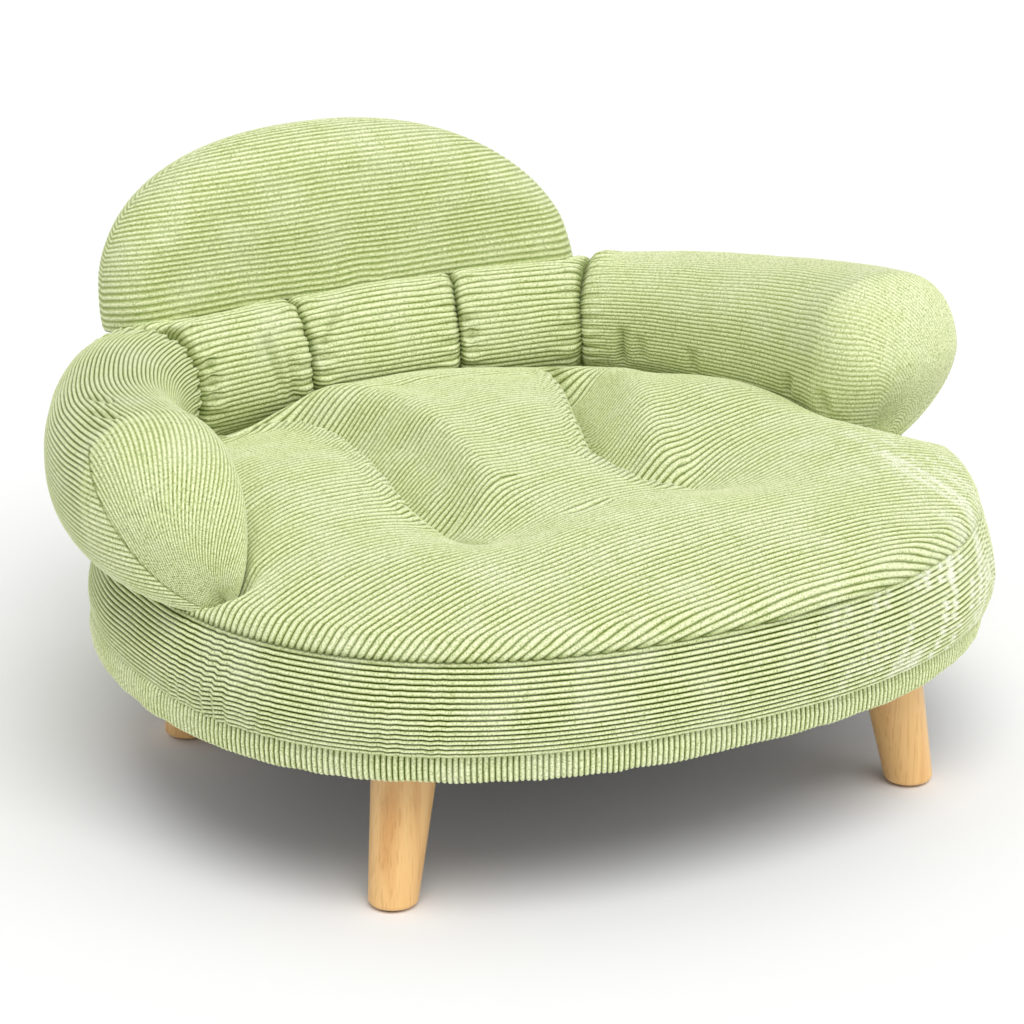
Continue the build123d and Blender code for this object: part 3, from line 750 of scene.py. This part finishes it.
def seat_piece():
    """Seat cushion: ribbed top panel over a sewn band, closed underneath."""
    top, top_values = seat_top()
    band, band_values, band_angle = seat_band()
    columns = seat_columns + 1
    start = len(top)
    border = grid_border(start // columns, columns)
    border_angle = np.arctan2(top[border, 1], top[border, 0])
    order = np.argsort(border_angle, kind="stable")
    faces = grid_faces(start // columns, columns)
    faces += grid_faces(len(band) // band_columns, band_columns, start, closed=True)
    faces += zip_loops(border[order].tolist(), border_angle[order].tolist(),
                       list(range(start, start + band_columns)), band_angle.tolist())
    wale, shade, streaks = np.concatenate([top_values, band_values], axis=1)
    return cloth_piece("seat_cushion", np.concatenate([top, band]), faces, wale, shade, brushed=streaks)


# Bolsters: the arms and the channels of the back

arm_power = 2.4
back_power = 2.6


def section_table(half_width, half_height, power):
    """Across and up shares of a bolster's section at even steps of its girth, and the length of a step."""
    turn = np.linspace(-math.pi / 2, 1.5 * math.pi, 4001)
    across, up = (np.sign(wave) * np.abs(wave) ** (2 / power) for wave in (np.cos(turn), np.sin(turn)))
    girth = run_lengths(across * half_width, up * half_height)
    count = int(round(girth[-1] / rib_pitch)) * rib_steps
    places = np.arange(count) * girth[-1] / count
    return np.interp(places, girth, across), np.interp(places, girth, up), girth[-1] / count


pinch_depth = 0.0065
pinch_run = 0.014
gather_place = 0.009
gather_spread = 0.013
gather_depth = 0.0016
# Painted shade where a bolster's end is sewn and drawn in: darkness and width
end_shade_darkness = 0.80
end_shade_width = 0.0035

# Wrinkles of the bolsters: a path from the middle of the base, its depth and its width
wrinkles = {
    "left_arm": (
        (((-0.337, 0.112, 0.322), (-0.336, 0.060, 0.333), (-0.334, 0.045, 0.335)), 0.003, 0.0035),
        (((-0.353, 0.073, 0.324), (-0.349, 0.024, 0.334), (-0.346, 0.008, 0.336)), 0.0035, 0.0035),
        (((-0.362, 0.047, 0.322), (-0.358, 0.000, 0.332)), 0.002, 0.004),
    ),
    "right_arm": (
        (((0.198, 0.214, 0.268), (0.200, 0.217, 0.245), (0.201, 0.219, 0.218)), 0.0055, 0.005),
        (((0.210, 0.201, 0.262), (0.210, 0.201, 0.232)), 0.003, 0.006),
        (((0.228, 0.150, 0.262), (0.229, 0.150, 0.232)), 0.003, 0.006),
        (((0.255, 0.040, 0.268), (0.258, 0.049, 0.240)), 0.0035, 0.006),
        (((0.257, -0.004, 0.266), (0.261, -0.006, 0.240)), 0.0025, 0.006),
    ),
    "back_left": (
        (((-0.112, 0.266, 0.295), (-0.106, 0.255, 0.271), (-0.098, 0.253, 0.232)), 0.004, 0.0055),
        (((-0.092, 0.258, 0.280), (-0.088, 0.252, 0.225)), 0.0035, 0.005),
        (((-0.168, 0.256, 0.293), (-0.165, 0.244, 0.271), (-0.169, 0.241, 0.235)), 0.0035, 0.006),
    ),
    "back_middle": (
        (((-0.029, 0.279, 0.304), (-0.050, 0.266, 0.285), (-0.062, 0.260, 0.262)), 0.0028, 0.0045),
    ),
    "back_right": (
        (((0.072, 0.277, 0.290), (0.077, 0.258, 0.268), (0.080, 0.254, 0.245)), 0.0025, 0.0045),
    ),
}


def pinched(distance):
    """How much a bolster draws in near a sewn end."""
    return pinch_depth * (1 - quarter_round(distance / pinch_run))


def bolster_piece(name, inner, outer, heights, power, rib_strength, sewn_end, shape_of, sew_cap=None):
    """A stuffed tube between two plan lines, with ribs along it and gathers where it is sewn."""
    piece_name = name + "_cushion"
    middle = (inner + outer) / 2
    half_vector = (outer - inner) / 2
    half_width = np.hypot(*half_vector.T)
    run = run_lengths(*middle.T)
    across, up, step = section_table(half_width.max(), heights.max() / 2, power)
    count = len(across)
    stations = len(run)
    around = np.arange(count) * step
    gather_wave = np.sin(around / 0.0125 * 2 * math.pi) + 0.6 * np.sin(around / 0.0310 * 2 * math.pi + 1.3)
    sewn = [(run, gather_wave)]
    if sewn_end:
        sewn.append((run[-1] - run, gather_wave[::-1]))
    drawn = sum(pinched(distance) for distance, _ in sewn)
    gather = sum(bell(distance[:, None] - gather_place, gather_spread) * wave for distance, wave in sewn)
    width_scale = np.clip(1 - drawn / np.maximum(half_width, 1e-4), 0, 1)
    height_scale = np.clip(1 - drawn / np.maximum(heights / 2, 1e-4), 0, 1)
    swell = 1 + gather_depth * gather / np.maximum(half_width, 0.02)[:, None]
    x, y = (middle[:, axis, None] + half_vector[:, axis, None] * across * width_scale[:, None] * swell
            for axis in (0, 1))
    z = (bolster_bottom + heights / 2)[:, None] + (heights / 2 * height_scale)[:, None] * up * swell
    points = np.stack(shape_of(x, y, z, across, up), -1)
    soft = uneven(points.reshape(-1, 3), 0.050, 0.0015, len(piece_name), 0.021, 2).reshape(x.shape)
    points[:, :, 2] += soft * (1 - drawn / pinch_depth)[:, None] * np.clip(up + 0.6, 0, 1)
    phase = np.tile(np.arange(count) / rib_steps, (stations, 1))
    shade = np.ones((stations, count))
    # Painted shade at the sewn ends
    for distance, _ in sewn:
        shade -= end_shade_darkness * bell(distance, end_shade_width)[:, None]
    if sew_cap is not None:
        sew_cap(points, phase, shade)
    first, last = (np.tile(points[end].mean(axis=0), (1, count, 1)) for end in (0, -1))
    points = np.concatenate([first, points, last])
    wale = np.pad(1 - rib_strength * (1 - rib(phase)), ((1, 1), (0, 0)), constant_values=1)
    # The closed ends get dark painted shade
    shade = np.pad(shade, ((1, 1), (0, 0)), constant_values=0.2)
    faces = grid_faces(stations + 2, count, closed=True)
    return cloth_piece(piece_name, points.reshape(-1, 3), faces, wale.ravel(), shade.ravel(),
                       wrinkles[name])


arm_top_end = arm_high[2] - bolster_bottom - 0.003
arm_top_corner = 0.098
arm_length_steps = 50
cap_steps = 160
cap_width_power = 0.9
cap_height_power = 0.68
cap_lean_power = 1.2
undercut_height = 0.085
undercut_from = 0.060
undercut_run = 0.13
undercut_side = 0.3
# Painted shade along the seam of an arm's cap: darkness and width
cap_seam_shade_darkness = 0.9
cap_seam_shade_width = 0.0014

# Across and up shares of an arm's section: the seam's ends, and the ribs that the cap's are counted from
seam_top = (0.80, 0.72)
seam_low = (0.60, -0.90)
kept_rib = (-0.98, -0.20)
level_rib = (-0.80, 0.72)


def arm_piece(name, mirror_x, reach, lean_in, inner_grow, outer_cut, rib_strength, top_grow=0.0,
              undercut=0.0, level_inside=False):
    """An arm from the back corner to its rounded front end, which draws in to a point at the bottom."""
    share = np.linspace(1, 0, arm_length_steps)
    inner = arm_plan(share, -1)
    outer = arm_plan(share, 1)
    inward = inner - outer
    inward /= np.hypot(*inward.T)[:, None]
    grown = smooth((1 - share) / 0.55)[:, None]
    inner = inner + inward * grown * inner_grow
    outer = outer + inward * grown * outer_cut
    end_height = arm_top_end + top_grow
    heights = end_height + (arm_top_corner - end_height) * share
    turn = np.linspace(0, math.pi / 2, cap_steps + 1)[1:]
    turn[-1] -= 0.004
    ahead = reach * np.sin(turn)
    half = (outer[-1, 0] - inner[-1, 0]) / 2 * np.cos(turn) ** cap_width_power
    centre_x = (outer[-1, 0] + inner[-1, 0]) / 2 - lean_in * (1 - np.cos(turn)) ** cap_lean_power
    inner, outer = (np.concatenate([line, np.stack([centre_x + side * half, arm_end_y - ahead], -1)])
                    for line, side in ((inner, -1), (outer, 1)))
    heights = np.concatenate([heights, end_height * np.cos(turn) ** cap_height_power])
    flip = np.array([mirror_x, 1])
    half_width = np.hypot(*(outer - inner).T).max() / 2
    across, up, step = section_table(half_width, heights.max() / 2, arm_power)
    seam_start, seam_end, kept_column, level_column = (
        int(np.argmin(np.hypot(across - place[0], up - place[1])))
        for place in (seam_top, seam_low, kept_rib, level_rib))
    seam_column = seam_start + (seam_end - seam_start) * np.linspace(0, 1, cap_steps) ** 0.9
    top_column = int(np.argmax(up))
    girth_share = 0.2 + 0.4 * (np.cos(turn) ** cap_width_power + np.cos(turn) ** cap_height_power)

    def sew_cap(points, phase, shade):
        """Ribs over the cap that the seam cuts off, level ribs below it, and painted shade along the seam.
        """
        columns = np.arange(len(across))
        numbers = columns / rib_steps
        outer_level = points[arm_length_steps, : top_column + 1, 2]
        inner_level = points[arm_length_steps, :top_column - 1:-1, 2]
        for k in range(cap_steps):
            level = points[arm_length_steps + k, :, 2]
            ribs = numbers[kept_column] + (columns - kept_column) / rib_steps * girth_share[k]
            if level_inside:
                inner_ribs = np.interp(level, inner_level, numbers[:top_column - 1:-1])
                ribs = inner_ribs[level_column] + (columns - level_column) / rib_steps * girth_share[k]
                ribs = np.where(columns > level_column, inner_ribs, ribs)
            outer_ribs = np.interp(level, outer_level, numbers[: top_column + 1])
            phase[arm_length_steps + k] = np.where(columns < seam_column[k], outer_ribs, ribs)
        # Painted shade along the cap's seam
        shade[arm_length_steps:] -= cap_seam_shade_darkness * bell((columns - seam_column[:, None]) * step, cap_seam_shade_width)

    def cut_under(x, y, z, across, up):
        """Draws the front end's lower part back and inward."""
        low = 1 - smooth((z - bolster_bottom) / undercut_height)
        front = smooth((undercut_from - y) / undercut_run)
        return x - mirror_x * undercut_side * undercut * low * front, y + undercut * low * front, z

    return bolster_piece(name, inner * flip, outer * flip, heights, arm_power, rib_strength, False,
                         cut_under, sew_cap)


# Rib strength below 1: lighter painted valley shade on the back
back_rib_strength = 0.78
roll_rise = 0.010
roll_belly = 0.006
roll_sag = 0.006
back_station = 0.0022


def back_piece(name, left_share, right_share):
    """One channel of the back bolster between two seams."""
    steps = int((right_share - left_share) * front_corner[0] / back_station)
    share = np.linspace(left_share, right_share, steps)
    inner = back_plan(share, front_corner, back_front_bow)
    outer = back_plan(share, rear_corner, back_rear_bow)
    heights = np.full(steps, bolster_top - bolster_bottom)

    def front_roll(x, y, z, across, up):
        """The top swells up in front of the headrest, and the belly hangs forward."""
        swell = roll_rise * bell(across + 0.55, 0.40) * smooth(up)
        belly = roll_belly * bell(up + 0.15, 0.55) * smooth(-across)
        sag = roll_sag * bell(up + 1, 0.6) * smooth(-across + 0.3)
        return x, y - belly, z + (swell - sag)

    return bolster_piece(name, inner, outer, heights, back_power, back_rib_strength, True, front_roll)


# Headrest

head_lean = math.radians(5)
head_thickness = 0.075
head_half_width = 0.219
head_power = 2.2
# Rib strength above 1: darker painted valley shade on the headrest
head_rib_strength = 1.15
head_rise = 0.137
head_sink = 0.012
head_y = 0.335
head_edge = 0.034
head_shift = -0.003
head_skew = -0.20
head_bend = 0.10
head_bend_from = 0.062
head_dip = 0.006
head_corner_dip = 0.006
head_columns = 96

# Folds that rise from the headrest's lower edge: place across and width
head_folds = ((-0.075, 0.009), (-0.052, 0.007), (0.028, 0.006), (-0.105, 0.012))
fold_depth = 0.0022
fold_slant = 0.10


def headrest_piece():
    """Half-moon pillow: a front and a back panel joined round the arched edge."""
    half_depth = head_thickness / 2
    edge_run = math.pi / 2 * math.sqrt((head_edge ** 2 + half_depth ** 2) / 2)
    growth = edge_run - head_edge
    fabric_x = head_half_width + growth
    fabric_h = head_rise + head_sink + growth
    rows = int((fabric_h - head_sink) / rib_spacing)
    row_h = np.arange(rows + 1) * rib_spacing + head_sink
    chord = fabric_x * np.maximum(1 - (row_h / fabric_h) ** head_power, 0) ** (1 / head_power)
    share = np.linspace(-1, 1, head_columns + 1)
    share = 0.45 * share + 0.55 * np.sin(share * math.pi / 2)
    flat_x = chord[:, None] * share
    flat_h = row_h[:, None]
    angle = np.arctan2(flat_h, flat_x)
    inward = np.maximum(oval_radius(angle, fabric_x, fabric_h, head_power) - np.hypot(flat_x, flat_h), 0)
    turn = np.clip(inward / edge_run * math.pi / 2, 0, math.pi / 2)
    drawn = head_edge * (1 - np.cos(turn)) + np.maximum(inward - edge_run, 0)
    reach = oval_radius(angle, head_half_width, head_rise + head_sink, head_power) - drawn
    x = reach * np.cos(angle)
    h = reach * np.sin(angle) - head_sink
    depth = half_depth * np.sin(turn)
    bottom = 1 - 0.22 * (1 - quarter_round((flat_h - head_sink) / 0.016))
    puff = 0.004 * bell(x, 0.15) * bell(h - 0.055, 0.06)
    front = depth * bottom + puff * smooth(inward / 0.06)
    grain = np.stack([x, h, np.zeros_like(x)], -1).reshape(-1, 3)
    soft = uneven(grain, 0.060, 0.0014, 11, 0.024, 12).reshape(x.shape)
    for place, width in head_folds:
        soft = soft - fold_depth * bell(x - place - fold_slant * h, width) * bell(h, 0.045)
    front = front + soft * smooth(inward / 0.03)
    low = 1 - smooth(h / 0.035)
    bend = head_bend * np.maximum(h - head_bend_from, 0)
    dipped = h - low * (head_dip + head_corner_dip * (x / head_half_width) ** 2)
    moved = x + head_shift + head_skew * h
    wale = 1 - head_rib_strength * (1 - rib(np.repeat(row_h / rib_pitch, head_columns + 1)))
    lean = np.array([[1, 0, 0], [0, math.sin(head_lean), math.cos(head_lean)],
                     [0, -math.cos(head_lean), math.sin(head_lean)]])
    origin = np.array([0, head_y, bolster_top])

    def placed(depth):
        """Points of the leaning pillow at a depth from its middle."""
        return origin + np.stack([moved, dipped, depth - bend], -1).reshape(-1, 3) @ lean

    columns = head_columns + 1
    faces = pair_faces(rows + 1, columns, (range(columns), range(rows * columns, (rows + 1) * columns)))
    points = np.concatenate([placed(front), placed(-depth * bottom)])
    return cloth_piece("headrest_cushion", points, faces, np.tile(wale, 2))


# Base wrap: a gathered strip over the rim, ribs square to the edge, and a flat panel inside it

rim_columns = 486 * rib_steps
ledge_inset = 0.060
deck_columns = 25
deck_thickness = 0.0014
deck_overlap = 0.004
hem_inset = 0.020
wrap_thickness = 0.0012
wrap_out = 0.0005
wrap_over = 0.0008
wrap_belly = 0.0008
wrap_upper_round = 0.006
wrap_lower_round = 0.004
hem_drop = 0.0018
round_steps = 5
leg_bunch_angle = -2.42

# The wrap's short and long waves in height, and how far the short ones stand out
wrap_swell = 0.0010
wrap_sag = 0.0012
wrap_stand_out = 0.0007


def rim_profile():
    """Inset and height of the strip from the ledge, over the edge, to the hem underneath."""
    top = rim_high[2] + wrap_over
    bottom = rim_low[2] - hem_drop
    turns = [math.pi / 2 * k / round_steps for k in range(round_steps + 1)]
    ledge = [(ledge_inset, rim_high[2] - wrap_over), (0.040, rim_high[2]), (0.020, top)]
    upper = [(wrap_upper_round * (1 - math.sin(turn)) - wrap_out,
              top - wrap_upper_round * (1 - math.cos(turn))) for turn in turns]
    lower = [(wrap_lower_round * (1 - math.cos(turn)) - wrap_out,
              bottom + wrap_lower_round * (1 - math.sin(turn))) for turn in turns]
    hem = [(0.009, rim_low[2] - 0.0004), (hem_inset, rim_low[2] + 0.0004)]
    return ledge + upper + [(-wrap_out - wrap_belly, (top + bottom) / 2)] + lower + hem


def base_wrap_piece():
    """The cloth over the base's rim."""
    angle = np.linspace(-math.pi, math.pi, 8001)
    edge = oval_radius(angle, rim_half_x, rim_half_y)
    run = run_lengths(edge * np.cos(angle), edge * np.sin(angle))
    places = np.arange(rim_columns) * run[-1] / rim_columns
    angle = np.interp(places, run, angle)
    edge = oval_radius(angle, rim_half_x, rim_half_y)
    profile = rim_profile()
    visible = len(profile)
    rings = [ring(edge - inset, angle, height) for inset, height in profile]
    lowest = rim_low[2] + 3 * wrap_thickness
    for inset, height in reversed(profile[:-1]):
        level = min(max(height, lowest), rim_high[2] - wrap_thickness)
        rings.append(ring(edge - max(inset, 0) - wrap_thickness - wrap_out, angle, level))
    points = np.stack(rings)
    on_edge = ring(edge, angle, 0.0)
    swell = wander(on_edge, 0.014, 21)
    sag = wander(on_edge, 0.060, 22) + 1.2 * bell(angle - leg_bunch_angle, 0.10)
    outward = np.stack([np.cos(angle), np.sin(angle)], -1)
    for k in range(2, visible - 1):
        points[k, :, 2] -= (wrap_swell * swell + wrap_sag * sag) * (k / visible) ** 2
        points[k, :, :2] += outward * (wrap_stand_out * swell)[:, None]
    wale = np.ones(points.shape[:2])
    wale[:visible] = rib(np.arange(rim_columns) / rib_steps)
    points = np.concatenate([points, points[:1]])
    wale = np.concatenate([wale, wale[:1]])
    faces = grid_faces(len(points), rim_columns, closed=True)
    return cloth_piece("base_wrap", points.reshape(-1, 3), faces, wale.ravel())


def deck_piece():
    """The flat ribbed panel over the base, under the seat cushion."""
    top_radius_x = rim_half_x - ledge_inset + deck_overlap
    top_radius_y = rim_half_y - ledge_inset + deck_overlap
    rows = int(top_radius_y / rib_spacing)
    row_y = np.arange(-rows, rows + 1) * rib_spacing
    chord = top_radius_x * (1 - (np.abs(row_y) / top_radius_y) ** oval_power) ** (1 / oval_power)
    share = np.linspace(-1, 1, deck_columns)
    x = chord[:, None] * share
    y = np.repeat(row_y[:, None], deck_columns, axis=1)
    top = np.stack([x, y, np.full_like(x, rim_high[2])], -1).reshape(-1, 3)
    wale = rib(np.repeat(row_y / rib_pitch, deck_columns))
    border = grid_border(len(row_y), deck_columns).tolist()
    faces = pair_faces(len(row_y), deck_columns, (border + border[:1],))
    return cloth_piece("base_deck", np.concatenate([top, top - [0, 0, deck_thickness]]), faces,
                       np.concatenate([wale, np.ones(len(top))]))


def add_cushion(piece, name):
    """Hangs a cushion under the cushions body and hides the CAD cover and filling that it stands for."""
    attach(piece, "cushions")
    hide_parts(name + "_cover", name + "_fill")


add_cushion(seat_piece(), "seat")
# The right arm's low rib strength lightens its painted valley shade
left_arm = arm_piece("left_arm", -1, reach=0.094, lean_in=0.018, inner_grow=0.008, outer_cut=0.019,
                     rib_strength=0.95)
right_arm = arm_piece("right_arm", 1, reach=0.052, lean_in=0.010, inner_grow=0.018, outer_cut=0.013,
                      rib_strength=0.60, top_grow=0.009, undercut=0.032, level_inside=True)
add_cushion(left_arm, "left_arm")
add_cushion(right_arm, "right_arm")
for name, left_share, right_share in (("back_left", -1, -back_seam_share),
                                      ("back_middle", -back_seam_share, back_seam_share),
                                      ("back_right", back_seam_share, 1)):
    add_cushion(back_piece(name, left_share, right_share), name)
add_cushion(headrest_piece(), "headrest")

wrap = base_wrap_piece()
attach(wrap, "base")
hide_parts("base_cover")
deck = deck_piece()
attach(deck, "base")


# Camera at the photograph's viewing angle

camera_place = Vector((-1.35555, -2.48068, 1.25454))
camera_target = Vector((-0.01002, -0.01690, 0.19656))
camera_lens = 133.9

camera_data = bpy.data.cameras.new("camera")
camera_data.lens = camera_lens
camera_data.sensor_width = 36
camera = add_object("camera", camera_data)
camera.location = camera_place
camera.rotation_euler = (camera_target - camera_place).to_track_quat("-Z", "Y").to_euler()
bpy.context.scene.camera = camera


# Floor and light

floor_half = 9

floor_mesh = bpy.data.meshes.new("floor")
floor_corners = [(x * floor_half, y * floor_half, 0) for x, y in ((-1, -1), (1, -1), (1, 1), (-1, 1))]
floor_mesh.from_pydata(floor_corners, [], [(0, 1, 2, 3)])
floor = add_object("floor", floor_mesh)
floor_finish = Finish("floor")
set_inputs(floor_finish.shader, Base_Color=(0.94, 0.94, 0.94, 1), Roughness=0.95, Specular_IOR_Level=0.1)
floor_mesh.materials.append(floor_finish.material)

# The object is lit at a lower level than the background that the camera, metal and glass see
world_strength = 0.56

world = bpy.data.worlds.new("studio")
world.use_nodes = True
bpy.context.scene.world = world
world_nodes = world.node_tree.nodes
world_links = world.node_tree.links
light_path = world_nodes.new("ShaderNodeLightPath")
seen = light_path.outputs["Is Camera Ray"]
for ray in ("Is Glossy Ray", "Is Transmission Ray"):
    either = world_nodes.new("ShaderNodeMath")
    either.operation = "MAXIMUM"
    world_links.new(seen, either.inputs[0])
    world_links.new(light_path.outputs[ray], either.inputs[1])
    seen = either.outputs["Value"]
strength = world_nodes.new("ShaderNodeMapRange")
set_inputs(strength, To_Min=world_strength, To_Max=1.0)
world_links.new(seen, strength.inputs["Value"])
world_links.new(strength.outputs["Result"], world_nodes["Background"].inputs["Strength"])
set_inputs(world_nodes["Background"], Color=(1, 1, 1, 1))


def sun_lamp(name, heading, height, softness, strength):
    """A soft sun: heading is degrees from the front towards the right, height is degrees up."""
    lamp = bpy.data.lights.new(name, "SUN")
    lamp.angle = math.radians(softness)
    lamp.energy = strength
    holder = add_object(name, lamp)
    holder.rotation_euler = (math.radians(90 - height), 0, math.radians(heading))


sun_lamp("key", -16, 60, 40, 1.75)
sun_lamp("fill", 42, 28, 50, 0.45)

bpy.context.scene.view_settings.view_transform = "Standard"
